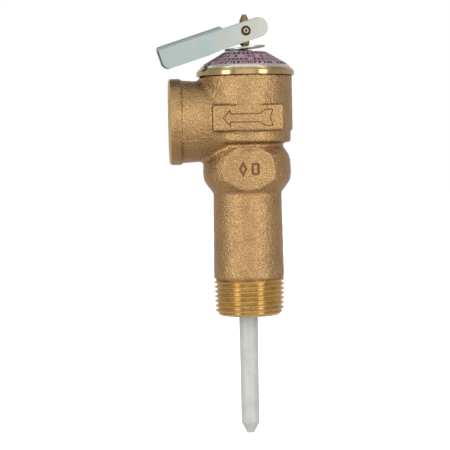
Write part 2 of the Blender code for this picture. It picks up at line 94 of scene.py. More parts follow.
PROBE_X = (SHEATH_LOW.x + SHEATH_HIGH.x) / 2

# Pipe threads, 3/4-14 NPT
PITCH = 1.814
THREAD_DEPTH = 1.3
TAPER = 1 / 32
MALE_CREST_R = 13.15
MALE_LENGTH = 15.2

# Casting
OUTLET_Z = 74.3
TUBE_R = 15.6
COLLAR_LENGTH = 4.4
BODY_R = 17.8
PAD_Y = 17.93
PAD_X = (-13.45, 12.65)
PAD_Z = (70.4, 79.9)
ARROW_Z = 75.1
ARROW_LINE = 0.42
ARROW_DEPTH = 0.4
STAMP_LINE = 0.85
STAMP_DEPTH = 0.6
FLAT_Y = 14.0
FLAT_X = (-9.6, 9.2)
FLAT_Z = (47.0, 63.5)
BORE_R = 9.3
SEAT_R = 8.2
CHAMBER_R = 14.3
CHAMBER_FLOOR = 67.0
OUTLET_BORE_R = 11.4
VOXEL = 0.42

# Lever and what is under it
LEVER_DROOP = math.radians(17.9)
PLATE_TILT = math.radians(5.6)
PLATE_R = 7.73
SHEET = 1.2
LEVER_WIDTH = 6.6
EAR_FOOT = -4.0
EAR_TOP = 3.55
EAR_REACH = 8.7
HANDLE_FOOT = -4.35
HANDLE_REACH = 34.15
WEB_TOP = 4.8
WEB_START = 9.0


# ---------------------------------------------------------------- mesh helpers


def offset(outline, distance):
    """A closed outline moved sideways, to the left of its direction, with mitred corners."""
    moved = []
    for i, point in enumerate(outline):
        here = Vector(point)
        before = (here - Vector(outline[i - 1])).normalized()
        after = (Vector(outline[(i + 1) % len(outline)]) - here).normalized()
        sideways = Vector((-before.y - after.y, before.x + after.x))
        moved.append(tuple(here + sideways * (distance / (1 + before.dot(after)))))
    return moved


def solid(name, points, faces, index=0):
    """A mesh object in millimetres with its faces turned out.

    Its empty material slots let a Boolean keep the number that each face carries.
    """
    mesh = bpy.data.meshes.new(name)
    mesh.from_pydata([tuple(point) for point in points], [], faces)
    work = bmesh.new()
    work.from_mesh(mesh)
    bmesh.ops.recalc_face_normals(work, faces=work.faces)
    for face in work.faces:
        face.material_index = index
    work.to_mesh(mesh)
    work.free()
    for _ in range(SLOTS):
        mesh.materials.append(None)
    made = bpy.data.objects.new(name, mesh)
    bpy.context.collection.objects.link(made)
    return made


def rounded(outline, steps=5):
    """A closed outline whose points may carry a fillet radius as a third value."""
    result = []
    count = len(outline)
    for i, point in enumerate(outline):
        here = Vector(point[:2])
        radius = point[2] if len(point) > 2 else 0
        if not radius:
            result.append(tuple(here))
            continue
        to_last = (Vector(outline[i - 1][:2]) - here).normalized()
        to_next = (Vector(outline[(i + 1) % count][:2]) - here).normalized()
        half = to_last.angle(to_next) / 2
        reach = radius / math.tan(half)
        centre = here + (to_last + to_next).normalized() * (radius / math.sin(half))
        start = here + to_last * reach - centre
        end = here + to_next * reach - centre
        sweep = start.angle_signed(end)
        for k in range(steps + 1):
            turn = -sweep * k / steps
            cos, sin = math.cos(turn), math.sin(turn)
            result.append(
                (centre.x + start.x * cos - start.y * sin, centre.y + start.x * sin + start.y * cos)
            )
    return result


def turned(name, outline, segments=128, index=0, steps=5):
    """A closed (radius, z) outline with optional fillets, revolved round Z."""
    points = []
    rings = []
    for radius, height in rounded(outline, steps):
        if radius < 1e-6:
            rings.append([len(points)] * segments)
            points.append((0, 0, height))
            continue
        rings.append([len(points) + i for i in range(segments)])
        for i in range(segments):
            angle = math.tau * i / segments
            points.append((radius * math.cos(angle), radius * math.sin(angle), height))
    faces = []
    for near, far in zip(rings, rings[1:] + rings[:1]):
        for i in range(segments):
            j = (i + 1) % segments
            face = list(dict.fromkeys([near[i], near[j], far[j], far[i]]))
            if len(face) > 2:
                faces.append(face)
    return solid(name, points, faces, index)


def extruded(name, outline, low, high, index=0, steps=5):
    """A closed (x, z) outline with optional fillets, pushed along Y from low to high."""
    flat = rounded(outline, steps)
    count = len(flat)
    points = [(x, low, z) for x, z in flat] + [(x, high, z) for x, z in flat]
    faces = [list(range(count)), list(range(count, 2 * count))]
    for i in range(count):
        j = (i + 1) % count
        faces.append([i, j, count + j, count + i])
    return solid(name, points, faces, index)


def thread_shape(phase):
    """Height of a pipe thread with narrow flats: 0 at the root, 1 at the crest, phase 0 to 1."""
    rise = abs(2 * (phase % 1) - 1)
    return min(max((1 - rise) * 1.25 - 0.1, 0), 1)


def screw(name, crest_r, depth, z_low, turns, segments, samples, fade=None, index=0):
    """A right-handed tapered screw. fade(z) scales its depth from the crest down."""
    rows = samples * turns
    points = []
    where = {}
    for i in range(segments):
        for j in range(rows + 1 + (samples if i == 0 else 0)):
            angle = math.tau * i / segments
            height = z_low + PITCH * (j / samples + i / segments)
            cut = depth * (fade(height) if fade else 1)
            radius = crest_r + TAPER * height - cut * (1 - thread_shape(j / samples))
            where[i, j] = len(points)
            points.append((radius * math.cos(angle), radius * math.sin(angle), height))

    def at(i, j):
        return where[(i, j) if i < segments else (0, j + samples)]

    faces = []
    for i in range(segments):
        for j in range(rows):
            faces.append([at(i, j), at(i + 1, j), at(i + 1, j + 1), at(i, j + 1)])
    for level, height in ((0, z_low), (rows, z_low + PITCH * turns)):
        rim = [at(i, level) for i in range(segments)]
        rim += [where[0, level + samples - k] for k in range(samples)]
        centre = len(points)
        points.append((0, 0, height))
        for a, b in zip(rim, rim[1:] + rim[:1]):
            faces.append([centre, a, b])
    return solid(name, points, faces, index)


def apply_modifiers(made):
    """Bakes an object's modifiers into its mesh."""
    bpy.context.view_layer.update()
    graph = bpy.context.evaluated_depsgraph_get()
    baked = bpy.data.meshes.new_from_object(made.evaluated_get(graph))
    made.modifiers.clear()
    made.data = baked


def combine(target, helper, operation, solver="EXACT"):
    """A Boolean with a helper that is used up. Cut faces keep the helper's material number."""
    modifier = target.modifiers.new("combine", "BOOLEAN")
    modifier.operation = operation
    modifier.solver = solver
    modifier.object = helper
    apply_modifiers(target)
    bpy.data.objects.remove(helper)


def groove(target, path, width, low, high):
    """Cuts a closed (x, z) path into a face as a line of the width given, from low to high in Y."""
    line = rounded(path)
    # The cut's faces take slot 2, the casting darkened as painted shade in the groove.
    cut = extruded("groove", offset(line, -width / 2), low, high, 2)
    island = extruded("island", offset(line, width / 2), low - 1, high + 1, 2)
    combine(cut, island, "DIFFERENCE")
    combine(target, cut, "DIFFERENCE", "MANIFOLD")


def along_outlet(made):
    """Turns a mesh made round Z so that it runs out along the outlet, +Z becoming -X."""
    made.data.transform(
        Matrix.Translation((0, 0, OUTLET_Z)) @ Matrix.Rotation(-math.pi / 2, 4, "Y")
    )
    return made


def finish_piece(made, looks, body, nodes=(), sharp=35, place=None):
    """Shades a piece, scales it to metres, parents it under its body's empty and hides the CAD nodes
    it stands for.
    """
    for i in range(SLOTS):
        made.data.materials[i] = looks[min(i, len(looks) - 1)]
    if place is not None:
        made.data.transform(place)
    made.data.transform(Matrix.Scale(MM, 4))
    made.data.shade_smooth()
    made.data.set_sharp_from_angle(angle=math.radians(sharp))
    weighted = made.modifiers.new("weighted", "WEIGHTED_NORMAL")
    weighted.keep_sharp = True
    apply_modifiers(made)
    made.data.name = made.name
    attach(made, body)
    if nodes:
        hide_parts(*nodes)
    return made


# ---------------------------------------------------------------- materials


class Look:
    """A Principled material whose nodes are added one call at a time."""

    def __init__(self, name, **settings):
        self.material = bpy.data.materials.new(name)
        self.material.use_nodes = True
        self.tree = self.material.node_tree
        self.shader = self.tree.nodes["Principled BSDF"]
        self.position = None
        for key, value in settings.items():
            self.shader.inputs[key.replace("_", " ")].default_value = value

    def add(self, kind, inputs=None, **properties):
        """A node with its inputs set or linked."""
        node = self.tree.nodes.new("ShaderNode" + kind)
        for key, value in properties.items():
            setattr(node, key, value)
        for key, value in (inputs or {}).items():
            self.feed(node.inputs[key], value)
        return node

    def feed(self, socket, value):
        """Sets a socket to a number, a colour or another node's output."""
        if isinstance(value, bpy.types.NodeSocket):
            self.tree.links.new(value, socket)
        elif isinstance(value, bpy.types.Node):
            self.tree.links.new(value.outputs[0], socket)
        else:
            socket.default_value = value

    def place(self, scale=(1, 1, 1)):
        """Object coordinates, stretched by scale."""
        if self.position is None:
            self.position = self.add("TexCoord").outputs["Object"]
        if scale == (1, 1, 1):
            return self.position
        return self.add("Mapping", {"Vector": self.position, "Scale": scale})

    def noise(self, size, detail=2.0, roughness=0.5, stretch=(1, 1, 1)):
        """Noise whose features are about size millimetres."""
        inputs = {
            "Vector": self.place(stretch),
            "Scale": 1 / (size * MM),
            "Detail": detail,
            "Roughness": roughness,
        }
        return self.add("TexNoise", inputs)

    def ramp(self, value, low, high, out_low=0.0, out_high=1.0):
        """A number carried from one range to another and held within it."""
        inputs = {0: value, 1: low, 2: high, 3: out_low, 4: out_high}
        return self.add("MapRange", inputs, clamp=True)

    def mix(self, factor, first, second, blend="MIX"):
        """Two colours mixed."""
        node = self.add("Mix", data_type="RGBA", blend_type=blend)
        self.feed(node.inputs[0], factor)
        self.feed(node.inputs[6], first)
        self.feed(node.inputs[7], second)
        return node.outputs[2]

    def math(self, operation, *values):
        """A Math node on the values."""
        node = self.add("Math", operation=operation)
        for socket, value in zip(node.inputs, values):
            self.feed(socket, value)
        return node

    def bump(self, height, depth, strength=1.0, under=None):
        """A bump of depth millimetres, over another bump if one is given."""
        inputs = {"Height": height, "Distance": depth * MM, "Strength": strength}
        if under is not None:
            inputs["Normal"] = under
        return self.add("Bump", inputs)

    def set(self, **links):
        """Feeds the shader's own sockets."""
        for key, value in links.items():
            self.feed(self.shader.inputs[key.replace("_", " ")], value)
        return self.material


def rgb(red, green, blue):
    """An sRGB colour of 0 to 255 as the linear values that nodes take."""
    return (*[((c / 255 + 0.055) / 1.055) ** 2.4 for c in (red, green, blue)], 1)


def cast_bronze():
    """Tumbled sand casting: a fine sparkling grain over a slightly mottled golden brown."""
    look = Look("cast_bronze", Metallic=1.0)
    grain = look.noise(0.55, 2.0, 0.6)
    sand = look.noise(1.1, 2.0, 0.5)
    mottle = look.noise(6.0, 3.0, 0.6)
    base = look.mix(look.ramp(mottle, 0.35, 0.65), rgb(170, 138, 98), rgb(181, 150, 103))
    base = look.mix(look.ramp(grain, 0.33, 0.46, 0.25, 0.0), base, rgb(136, 98, 60))
    rough = look.ramp(grain, 0.3, 0.7, 0.36, 0.22)
    low = look.bump(sand, 0.2)
    high = look.bump(grain, 0.23, 1.0, low)
    return look.set(Base_Color=base, Roughness=rough, Normal=high)


def recess_shade_bronze():
    """The casting in the cut marks, darker and duller, the darker brown being painted shade in the
    recesses.
    """
    look = Look("recess_shade_bronze", Metallic=0.7, Roughness=0.6)
    grain = look.noise(0.4, 2.0, 0.55)
    # Painted shade: the marks' grooves take a darker brown than the casting round them.
    base = look.mix(look.ramp(grain, 0.35, 0.65), rgb(126, 90, 57), rgb(154, 114, 75))
    return look.set(Base_Color=base, Normal=look.bump(grain, 0.1))


def turned_brass(name, tone, roughness, coat=0.0):
    """Brass turned on a lathe: faint rings round the axis and a satin gloss."""
    look = Look(name, Metallic=1.0, Anisotropic=0.5, Anisotropic_Rotation=0.25)
    look.set(Coat_Weight=coat, Coat_Roughness=0.12)
    rings = look.noise(0.5, 3.0, 0.6, (0.02, 0.02, 3.0))
    cloud = look.noise(4.0, 2.0, 0.5)
    darker = [c * 0.8 for c in tone[:3]] + [1]
    base = look.mix(look.ramp(cloud, 0.35, 0.7), darker, tone)
    rough = look.ramp(rings, 0.3, 0.7, roughness - 0.04, roughness + 0.06)
    return look.set(Base_Color=base, Roughness=rough, Normal=look.bump(rings, 0.012))


def machined_brass():
    """Cut faces of the casting: bores and threads."""
    look = Look("machined_brass", Metallic=0.95, Anisotropic=0.75, Anisotropic_Rotation=0.25)
    fine = look.noise(0.25, 3.0, 0.6)
    cloud = look.noise(3.0, 2.0, 0.5)
    base = look.mix(look.ramp(cloud, 0.3, 0.7), rgb(206, 180, 126), rgb(224, 199, 144))
    rough = look.ramp(fine, 0.3, 0.7, 0.25, 0.29)
    return look.set(Base_Color=base, Roughness=rough, Normal=look.bump(fine, 0.003))


def zinc_plate():
    """Bright zinc plating, cloudy blue and straw on the handle, painted lighter and greyer towards
    the ears as painted light.
    """
    look = Look("lever_steel", Metallic=1.0)
    cloud = look.noise(6.0, 3.0, 0.6)
    smear = look.noise(2.2, 3.0, 0.6, (1, 1, 0.5))
    blue = rgb(161, 183, 185)
    straw = rgb(174, 185, 178)
    base = look.mix(look.ramp(cloud, 0.35, 0.65), blue, straw)
    base = look.mix(look.ramp(smear, 0.45, 0.75, 0.0, 0.25), base, rgb(156, 170, 170))
    # Painted light: the colour turns lighter and greyer along X towards the ears at the pivot end.
    along = look.add("SeparateXYZ", {"Vector": look.place()}).outputs["X"]
    base = look.mix(look.ramp(along, -0.014, 0.006), base, rgb(185, 187, 180))
    rough = look.ramp(smear, 0.3, 0.7, 0.28, 0.42)
    fine = look.noise(0.5, 2.0, 0.5)
    return look.set(Base_Color=base, Roughness=rough, Normal=look.bump(fine, 0.008))


def plain(name, colour, roughness, size, metallic=0.0, depth=0.02):
    """A moulded, drawn or pressed surface with slight mottling."""
    look = Look(name, Metallic=metallic)
    cloud = look.noise(size * 6, 2.0, 0.5)
    fine = look.noise(size, 3.0, 0.6)
    darker = [c * 0.86 for c in colour[:3]] + [1]
    base = look.mix(look.ramp(cloud, 0.3, 0.7), darker, colour)
    rough = look.ramp(fine, 0.3, 0.7, roughness - 0.06, roughness + 0.06)
    return look.set(Base_Color=base, Roughness=rough, Normal=look.bump(fine, depth))


def printed_label():
    """Rows of hollow bars in place of print, round a foil cone."""
    look = Look("printed_label", Metallic=0.3)
    place = look.add("SeparateXYZ", {"Vector": look.place()})
    x, y = place.outputs["X"], place.outputs["Y"]
    angle = look.math("ARCTAN2", y, x)
    radius = look.math("SQRT", look.math("ADD", look.math("POWER", x, 2), look.math("POWER", y, 2)))
    row = look.math("DIVIDE", radius, 2.1 * MM)
    row_number = look.math("FLOOR", row)
    in_row = look.math("FRACT", row)
    cells = look.math("MULTIPLY", angle, look.math("MULTIPLY", row_number, 1.4))
    cell = look.math("FLOOR", cells)
    in_cell = look.math("FRACT", cells)
    spot = look.add("CombineXYZ", {"X": cell, "Y": row_number})
    chance = look.add("TexWhiteNoise", {"Vector": spot}, noise_dimensions="3D")
    inked = look.math("GREATER_THAN", chance, 0.14)
    tall = look.math("COMPARE", in_row, 0.5, 0.34)
    wide = look.math("COMPARE", in_cell, 0.5, 0.38)
    hollow_tall = look.math("COMPARE", in_row, 0.5, 0.11)
    hollow_wide = look.math("COMPARE", in_cell, look.math("MULTIPLY", chance, 0.9), 0.16)
    hollow = look.math("MULTIPLY", hollow_tall, hollow_wide)
    bar = look.math("MULTIPLY", look.math("MULTIPLY", inked, tall), wide)
    print_here = look.math("MULTIPLY", bar, look.math("SUBTRACT", 1.0, hollow))
    tone = look.noise(3.0, 2.0, 0.6)
    ground = look.mix(look.ramp(tone, 0.35, 0.65), rgb(156, 126, 144), rgb(186, 156, 172))
    ink = look.mix(look.ramp(tone, 0.4, 0.6), rgb(14, 6, 22), rgb(46, 8, 30))
    base = look.mix(print_here, ground, ink)
    return look.set(Base_Color=base, Roughness=look.ramp(tone, 0.3, 0.7, 0.3, 0.42))


CAST = cast_bronze()
RECESS_SHADE = recess_shade_bronze()
MACHINED = machined_brass()
RING_BRASS = turned_brass("ring_brass", rgb(191, 164, 116), 0.16, coat=0.6)
# Painted shade: the stem's brass is a much darker copy of the ring's, for the dark the hexagon head
# reflects.
SHADED_STEM_BRASS = turned_brass("shaded_stem_brass", rgb(140, 126, 84), 0.34)
# Painted shade: this near-black brass stands for the shaded gap and hole at the lever pin.
PIN_SHADE_BRASS = turned_brass("pin_shade_brass", rgb(92, 70, 40), 0.26)
PIN_STEEL = plain("pin_steel", rgb(186, 186, 180), 0.3, 0.5, metallic=1.0)
BONNET_STEEL = plain("bonnet_steel", rgb(236, 230, 221), 0.24, 0.8, metallic=1.0, depth=0.005)
LEVER_STEEL = zinc_plate()
LABEL = printed_label()
COATING = plain("probe_coating", rgb(200, 207, 201), 0.38, 0.6)
RUBBER = plain("rubber", rgb(38, 37, 36), 0.62, 0.5)
# Partly painted shade: the washer's near black also stands for the shade under the plate.
FIBRE_AND_SHADE = plain("fibre", rgb(52, 48, 44), 0.8, 0.3, depth=0.04)
SPRING_WIRE = plain("spring_wire", rgb(176, 176, 178), 0.32, 0.5, metallic=1.0)
COPPER = plain("copper_tube", rgb(208, 138, 108), 0.3, 0.5, metallic=1.0)
WAX = plain("wax_charge", rgb(210, 192, 140), 0.5, 1.0)


# ---------------------------------------------------------------- casting


def blend_outlet(skin):
    """Smooths the casting only near the line where the outlet tube meets the chamber."""
    near = skin.vertex_groups.new(name="outlet_joint")
    for vertex in skin.data.vertices:
        x, y, z = vertex.co
        from_chamber = abs(math.hypot(x, y) - BODY_R)
        from_tube = abs(math.hypot(y, z - OUTLET_Z) - TUBE_R)
        weight = min(1.6 - max(from_chamber, from_tube) / 2.2, 1)
        if x < 0 and weight > 0 and abs(y) < PAD_Y - 1:
            near.add([vertex.index], weight, "REPLACE")
    smooth = skin.modifiers.new("blend", "SMOOTH")
    smooth.factor = 0.5
    smooth.iterations = 40
    smooth.vertex_group = near.name
    apply_modifiers(skin)


def casting_skin():
    """The rough outside of the casting, its joins blended by a remesh."""
    collar_reach = OUTLET_REACH - COLLAR_LENGTH
    top = RING_LOW.z - 0.01
    skin = turned(
        "cast_body",
        [
            (0, 13.2), (12.6, 13.2), (13.5, 14.5, 0.2), (13.48, 17.5), (13.1, 46.8, 1.0),
            (14.9, 49.2, 1.5), (16.5, 51.6, 2.0), (16.9, 54.2, 2), (16.75, 58.5, 3),
            (16.1, 61.2, 2), (14.6, 63.6, 1.5), (13.95, 64.7, 0.5), (14.1, 65.4, 0.5),
            (16.9, 66.2, 0.5), (17.05, 70.2, 0.3), (BODY_R, 70.7, 0.4), (BODY_R, top), (0, top),
        ],
        160,
    )
    tube = along_outlet(
        turned(
            "tube",
            [
                (0, 8), (15.35, 8), (15.4, 18), (15.8, collar_reach - 0.5, 0.3),
                (16.45, collar_reach, 0.3), (16.4, OUTLET_REACH + 0.6), (0, OUTLET_REACH + 0.6),
            ],
            128,
        )
    )
    combine(skin, tube, "UNION", "MANIFOLD")
    for side in (-1, 1):
        low, high = sorted((side * 5, side * PAD_Y))
        left, right = PAD_X
        bottom, top = PAD_Z
        pad = extruded(
            "pad",
            [(left, bottom, 0.4), (right, bottom, 0.4), (right, top, 0.4), (left, top, 0.4)],
            low,
            high,
        )
        combine(skin, pad, "UNION", "MANIFOLD")
        low, high = sorted((side * FLAT_Y, side * 20))
        left, right = FLAT_X
        bottom, top = FLAT_Z
        flat = extruded(
            "flat",
            [(left, bottom, 6), (right, bottom, 6), (right, top, 6), (left, top, 6)],
            low,
            high,
        )
        combine(skin, flat, "DIFFERENCE", "MANIFOLD")
    remesh = skin.modifiers.new("remesh", "REMESH")
    remesh.mode = "VOXEL"
    remesh.voxel_size = VOXEL
    smooth = skin.modifiers.new("smooth", "SMOOTH")
    smooth.factor = 0.5
    smooth.iterations = 3
    apply_modifiers(skin)
    blend_outlet(skin)
    points = [vertex.co.copy() for vertex in skin.data.vertices]
    normals = [normal.vector.copy() for normal in skin.data.vertex_normals]
    moved = []
    for point, normal in zip(points, normals):
        wave = noise.noise(point / 3.2) * 0.07 + noise.noise(point / 1.3) * 0.05
        moved.extend(point + normal * (wave - 0.05))
    skin.data.vertices.foreach_set("co", moved)
    return skin


def surface_marks(skin):
    """The flow arrow in the front pad, and a diamond and an oblong in the front wrench flat."""
    half = [(-7.2, -2.85), (-6.9, -1.5), (4.0, -1.55, 1.5), (6.2, -3.0, 1.2), (8.8, -3.0)]
    upper = [(x, -z, *fillet) for x, z, *fillet in reversed(half)]
    arrow = [(-9.6, 0), *half, (7.8, 0, 3.0), *upper]
    placed = [(x, ARROW_Z + z, *fillet) for x, z, *fillet in arrow]
    groove(skin, placed, ARROW_LINE, -PAD_Y - 1, -PAD_Y + ARROW_DEPTH)
    diamond = [(-2.4, 53.9), (-1.25, 56.0), (-2.4, 58.1), (-3.55, 56.0)]
    oblong = [(1.15, 54.1, 0.6), (3.35, 54.1, 0.6), (3.35, 57.9, 0.6), (1.15, 57.9, 0.6)]
    for mark in (diamond, oblong):
        groove(skin, mark, STAMP_LINE, -FLAT_Y - 1, -FLAT_Y + STAMP_DEPTH)


def outlet_window():
    """The round opening from the chamber into the outlet, level with the chamber's floor."""
    radius = OUTLET_BORE_R - 0.02
    window = along_outlet(
        turned("window", [(0, 10), (radius, 10), (radius, 12.5), (0, 12.5)], 96, 1)
    )
    floor = CHAMBER_FLOOR + 0.05
    above = extruded("above", [(-14, floor), (-9, floor), (-9, 90), (-14, 90)], -20, 20, 1)
    combine(window, above, "INTERSECT")
    return window


def cast_body():
    """The casting with its marks, ports, seat and female thread cut in."""
    skin = casting_skin()
    surface_marks(skin)
    bore = turned(
        "bore",
        [
            (0, -1), (BORE_R, -1), (BORE_R, 58), (SEAT_R, 60), (SEAT_R, 69, 0.3), (9.8, 69, 0.3),
            (9.8, CHAMBER_FLOOR, 0.3), (CHAMBER_R, CHAMBER_FLOOR, 0.6), (CHAMBER_R, 96), (0, 96),
        ],
        96,
        1,
        3,
    )
    combine(skin, bore, "DIFFERENCE", "MANIFOLD")
    port = along_outlet(
        turned(
            "port",
            [
                (0, 12), (OUTLET_BORE_R, 12), (OUTLET_BORE_R, 28.0), (13.6, OUTLET_REACH),
                (15.7, OUTLET_REACH, 0.4), (16.8, OUTLET_REACH - 1), (20, OUTLET_REACH - 1),
                (20, OUTLET_REACH + 3), (0, OUTLET_REACH + 3),
            ],
            96,
            1,
        )
    )
    combine(skin, port, "DIFFERENCE", "MANIFOLD")
    combine(skin, outlet_window(), "DIFFERENCE", "MANIFOLD")
    tap = screw("tap", 13.3 - TAPER * OUTLET_REACH, THREAD_DEPTH, 16, 9, 72, 6, index=1)
    along_outlet(tap)
    combine(skin, tap, "DIFFERENCE", "MANIFOLD")
    looks = (CAST, MACHINED, RECESS_SHADE)
    return finish_piece(skin, looks, "casing", ("body",))


def inlet_thread():
    """The machined inlet thread, cut as its own piece below the casting."""

    def fade(height):
        return min(max((MALE_LENGTH + 0.4 - height) / 1.8, 0), 1)

    made = screw("inlet_thread", MALE_CREST_R, THREAD_DEPTH, -3.7, 11, 128, 10, fade, 1)
    envelope = turned(
        "envelope",
        [
            (0, 0), (11.4, 0, 0.1), (13.2, 1.7), (14.5, 3), (14.5, 13.7), (13.2, 14.5),
            (13.2, MALE_LENGTH), (0, MALE_LENGTH),
        ],
        128,
        1,
    )
    combine(made, envelope, "INTERSECT", "MANIFOLD")
    bore = turned("bore", [(0, -1), (10.1, -1), (BORE_R, 0.6), (BORE_R, 20), (0, 20)], 96, 1)
    combine(made, bore, "DIFFERENCE", "MANIFOLD")
    return finish_piece(made, (MACHINED, MACHINED), "casing")


# ---------------------------------------------------------------- top works


def retaining_ring():
    """The turned ring, with a sharp bevel that rolls in over the bonnet's rim."""
    low, high = RING_LOW.z, RING_HIGH.z
    outline = [
        (18.0, low), (RING_R, low, 0.15), (RING_R, high - 2.2, 0.35), (17.4, high - 0.95, 0.1),
        (17.4, high - 1.3), (18.0, high - 1.4),
    ]
    made = turned("ring", outline, 192)
    return finish_piece(made, (RING_BRASS,), "casing", ("retaining_ring",))


def cone_z(radius):
    """Height of the bonnet's cone at a radius."""
    return LABEL_LOW.z - 0.35 + (15.9 - radius) * 0.5815


def bonnet():
    """The pressed cover: flange, bright rim, cone and flat top."""
    low, top = BONNET_LOW.z, BONNET_HIGH.z
    outline = [
        (17.35, low), (17.35, 94.2, 0.4), (16.85, 95.05, 0.4), (16.3, 95.4, 0.15),
        (16.1, cone_z(16.1)), (7.55, cone_z(7.55)), (7.45, top - 0.2, 0.1),
        (7.2, top, 0.15), (3.3, top), (3.3, 98.9), (7.0, cone_z(7.0) - 1.39),
        (15.3, cone_z(15.3) - 1.39), (15.3, low),
    ]
    made = turned("cover", outline, 160)
    return finish_piece(made, (BONNET_STEEL,), "casing", ("bonnet",))


def label():
    """The printed cone that lies in the bonnet's recess."""
    outline = [
        (15.9, cone_z(15.9) + 0.35), (15.9, cone_z(15.9) + 0.81, 0.08),
        (7.9, cone_z(7.9) + 0.81, 0.15), (7.9, cone_z(7.9) + 0.35),
    ]
    made = turned("label", outline, 160)
    return finish_piece(made, (LABEL,), "casing", ("name_plate",))


def stem():
    """The stem: riveted foot, rod, hexagon head with a pyramid top, and its cross hole."""
    rod = turned(
        "valve_stem",
        [
            (0, STEM_LOW.z), (2.2, STEM_LOW.z, 0.3), (2.6, 65.6), (2.6, 66.1, 0.1), (1.25, 66.1),
            (1.25, 103.4), (0, 103.4),
        ],
        48,
    )
    corner_r = 3.3 / math.sqrt(3)
    head = turned(
        "head",
        [
            (0, 103.0), (corner_r - 0.3, 103.0), (corner_r, 103.4), (corner_r, 112.4),
            (0.85, STEM_HIGH.z - 0.6), (0, STEM_HIGH.z - 0.6),
        ],
        6,
    )
    bevel = head.modifiers.new("bevel", "BEVEL")
    bevel.width = 0.12
    bevel.segments = 3
    bevel.limit_method = "ANGLE"
    apply_modifiers(head)
    combine(rod, head, "UNION")
    hole = turned("hole", [(0, -4), (1.2, -4), (1.2, 4), (0, 4)], 40)
    hole.data.transform(Matrix.Translation((0, 0, PIVOT.z)) @ Matrix.Rotation(math.pi / 2, 4, "X"))
    combine(rod, hole, "DIFFERENCE")
    place = Matrix.Rotation(LEVER_YAW, 4, "Z")
    return finish_piece(rod, (SHADED_STEM_BRASS,), "disc_and_stem", ("stem",), 25, place)


def lever_place():
    """From the lever's own axes, handle to -X and pin along Y, to the valve's."""
    return (
        Matrix.Translation(PIVOT)
        @ Matrix.Rotation(LEVER_YAW, 4, "Z")
        @ Matrix.Rotation(-LEVER_DROOP, 4, "Y")
    )


def lever():
    """The folded sheet lever, its edges slightly broken."""
    half = LEVER_WIDTH / 2
    inside = half - SHEET
    foot = HANDLE_FOOT - 1
    section = [
        (half, foot), (half, WEB_TOP, 2.6), (-half, WEB_TOP, 2.6), (-half, foot),
        (-inside, foot), (-inside, WEB_TOP - SHEET, 1.4), (inside, WEB_TOP - SHEET, 1.4),
        (inside, foot),
    ]
    made = extruded("lever_sheet", section, -HANDLE_REACH - 3, HANDLE_REACH + 3, steps=10)
    made.data.transform(Matrix.Rotation(math.pi / 2, 4, "Z"))
    side = extruded(
        "side",
        [
            (EAR_REACH, EAR_FOOT, 3.7), (EAR_REACH, EAR_TOP, 3.7),
            (1.0 - WEB_START, EAR_TOP, 0.3), (-WEB_START, WEB_TOP, 0.3),
            (-HANDLE_REACH, WEB_TOP, 0.6), (-HANDLE_REACH, HANDLE_FOOT, 2.8),
            (-15, HANDLE_FOOT, 3), (-10, EAR_FOOT, 3),
        ],
        -LEVER_WIDTH,
        LEVER_WIDTH,
        steps=12,
    )
    combine(made, side, "INTERSECT")
    hole = turned("hole", [(0, -5), (1.2, -5), (1.2, 5), (0, 5)], 40)
    hole.data.transform(Matrix.Rotation(math.pi / 2, 4, "X"))
    combine(made, hole, "DIFFERENCE")
    bevel = made.modifiers.new("bevel", "BEVEL")
    bevel.width = 0.22
    bevel.segments = 3
    bevel.limit_method = "ANGLE"
    bevel.angle_limit = math.radians(40)
    apply_modifiers(made)
    return finish_piece(
        made, (LEVER_STEEL,), "test_lever", ("lever",), 30, lever_place()
    )


def lever_pin():
    """The hollow pin: a flared brass rim over each ear, darkened as painted shade for the gap round
    the pin, and a bright tube standing out of it whose bore is painted dark as shade.
    """
    head = LEVER_WIDTH / 2
    outline = [
        (0.42, -head - 0.5, 0.1), (0.95, -head - 0.5, 0.1), (0.95, -head - 0.1),
        (1.55, -head - 0.1, 0.1), (1.65, -head - 0.25, 0.1), (1.9, -head - 0.1, 0.1),
        (1.9, -head + 0.02), (0.95, -head + 0.02),
    ]
    mirrored = [(radius, -height, *fillet) for radius, height, *fillet in reversed(outline)]
    made = turned("eyelet", outline + mirrored, 64)
    for face in made.data.polygons:
        # Painted shade: the bore and the flared rim take the dark brass, the tube's outside and ends
        # the steel.
        face.material_index = int(0.5 < math.hypot(face.center.x, face.center.y) < 1.0)
    made.data.transform(Matrix.Rotation(math.pi / 2, 4, "X"))
    looks = (PIN_SHADE_BRASS, PIN_STEEL)
    return finish_piece(
        made, looks, "test_lever", ("lever_pin",), 35, lever_place()
    )


def rocking_plate():
    """The round plate under the lever."""
    half = 0.375
    outline = [
        (1.9, -half, 0.08), (PLATE_R, -half, 0.15), (PLATE_R, half, 0.2), (1.9, half, 0.08),
    ]
    made = turned("round_plate", outline, 128)
    place = (
        Matrix.Translation((PLATE_LOW + PLATE_HIGH) / 2)
        @ Matrix.Rotation(LEVER_YAW, 4, "Z")
        @ Matrix.Rotation(-PLATE_TILT, 4, "Y")
    )
    return finish_piece(
        made, (LEVER_STEEL,), "rocking_plate", ("lever_plate",), 35, place
    )


def thrust_washer():
    """The fibre washer under the plate, near black: partly its own colour and partly painted shade
    under the plate.
    """
    low, high = WASHER_LOW.z, WASHER_HIGH.z
    made = turned(
        "washer", [(1.7, low, 0.08), (2.8, low, 0.08), (2.8, high, 0.08), (1.7, high, 0.08)], 64
    )
    return finish_piece(made, (FIBRE_AND_SHADE,), "swivel", ("thrust_washer",))


# ---------------------------------------------------------------- probe and inside


def probe_sheath():
    """The coated probe with its tapered, blunt tip."""
    low, high = SHEATH_LOW.z, SHEATH_HIGH.z
    made = turned(
        "probe",
        [
            (0, low), (1.3, low, 0.7), (3.45, low + 4.1, 1.5), (3.45, -20), (3.6, 0), (3.6, high),
            (2.75, high), (2.75, low + 3.9), (1.6, low + 3.7), (0, low + 3.7),
        ],
        96,
        steps=8,
    )
    place = Matrix.Translation((PROBE_X, 0, 0))
    return finish_piece(
        made, (COATING,), "casing", ("probe_sheath",), 40, place
    )


